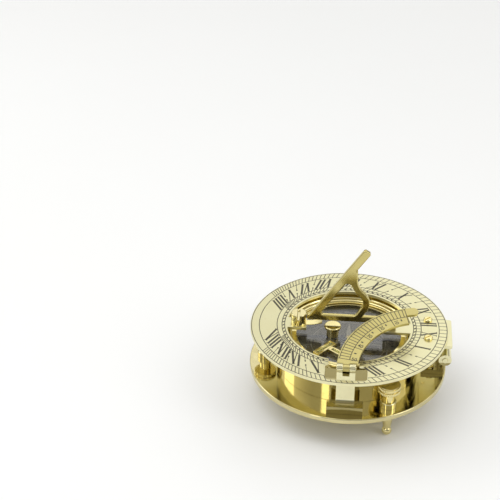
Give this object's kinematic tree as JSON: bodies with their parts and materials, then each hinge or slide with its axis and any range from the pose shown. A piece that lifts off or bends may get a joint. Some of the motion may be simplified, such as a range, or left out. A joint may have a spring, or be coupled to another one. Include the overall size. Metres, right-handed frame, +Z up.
{
  "type": "portable sundial",
  "caption": "Folding brass sundial: engraved hour ring on a tilt hinge over a compass box, folding gnomon and latitude arc, on a round plate with levelling screws.",
  "frame": {"origin": "on the table, under the middle of the bounding box", "axes": "+X towards the noon mark and the tilt hinge, +Y towards the forenoon hours, +Z up"},
  "size_m": [0.129, 0.127, 0.1053],
  "materials": {
    "polished_brass": "mirror polished",
    "satin_brass": "satin, pale",
    "screw_brass": "turned and polished",
    "gnomon_brass": "polished casting",
    "steel": "turned",
    "blued_steel": "blued",
    "card_enamel": "matt enamel",
    "window_glass": "clear, plain",
    "vial_glass": "clear, filled with spirit",
    "engraving_fill": "matt black fill in the engraved lines and numerals"
  },
  "bodies": {
    "base": {"base_plate": "polished_brass", "foot_bosses": "polished_brass", "compass_box": "polished_brass", "compass_box_screws": "steel", "compass_card": "card_enamel", "needle_pivot": "steel", "compass_glass": "window_glass", "bezel": "polished_brass", "level_long": "satin_brass", "level_short": "satin_brass", "level_vials": "vial_glass", "round_level": "polished_brass", "hinge_base_leaf": "satin_brass", "hinge_pin": "screw_brass", "hinge_base_screws": "screw_brass", "latitude_bracket": "satin_brass", "bracket_screws": "steel", "arc_pin": "screw_brass"},
    "dial": {"hour_ring": "satin_brass", "hinge_dial_leaf": "satin_brass", "dial_screws": "screw_brass", "gnomon_post": "polished_brass", "gnomon_lug": "polished_brass", "gnomon_pivots": "steel", "gnomon_spring": "satin_brass"},
    "gnomon": {"gnomon": "gnomon_brass"},
    "arc": {"latitude_arc": "satin_brass"},
    "needle": {"compass_needle": "blued_steel", "needle_cap": "screw_brass"},
    "levelling_screw_1": {"levelling_screw_1": "screw_brass"},
    "levelling_screw_2": {"levelling_screw_2": "screw_brass"},
    "levelling_screw_3": {"levelling_screw_3": "screw_brass"}
  },
  "joints": [
    {"name": "dial_tilt", "type": "hinge", "parent": "base", "child": "dial", "pos_m": [0.06045, 0, 0.0376], "axis": [0, 1, 0], "range_deg": [0, 55]},
    {"name": "arc_fold", "type": "hinge", "parent": "base", "child": "arc", "pos_m": [-0.00105, -0.052, 0.0526], "axis": [1, 0, 0], "range_deg": [0, 77]},
    {"name": "gnomon_fold", "type": "hinge", "parent": "dial", "child": "gnomon", "pos_m": [-0.00105, 0, 0.0545], "axis": [-1, 0, 0], "range_deg": [0, 88]},
    {"name": "needle_spin", "type": "hinge", "parent": "base", "child": "needle", "pos_m": [-0.00105, 0, 0.038], "axis": [0, 0, 1], "continuous": true},
    {"name": "level_screw_1_travel", "type": "slide", "parent": "base", "child": "levelling_screw_1", "axis": [0, 0, 1], "range_m": [-0.003, 0.004]},
    {"name": "level_screw_2_travel", "type": "slide", "parent": "base", "child": "levelling_screw_2", "axis": [0, 0, 1], "range_m": [-0.003, 0.004]},
    {"name": "level_screw_3_travel", "type": "slide", "parent": "base", "child": "levelling_screw_3", "axis": [0, 0, 1], "range_m": [-0.003, 0.004]}
  ],
  "couplings": [
    {"joint": "arc_fold", "follows": "dial_tilt", "ratio": 1.4}
  ]
}
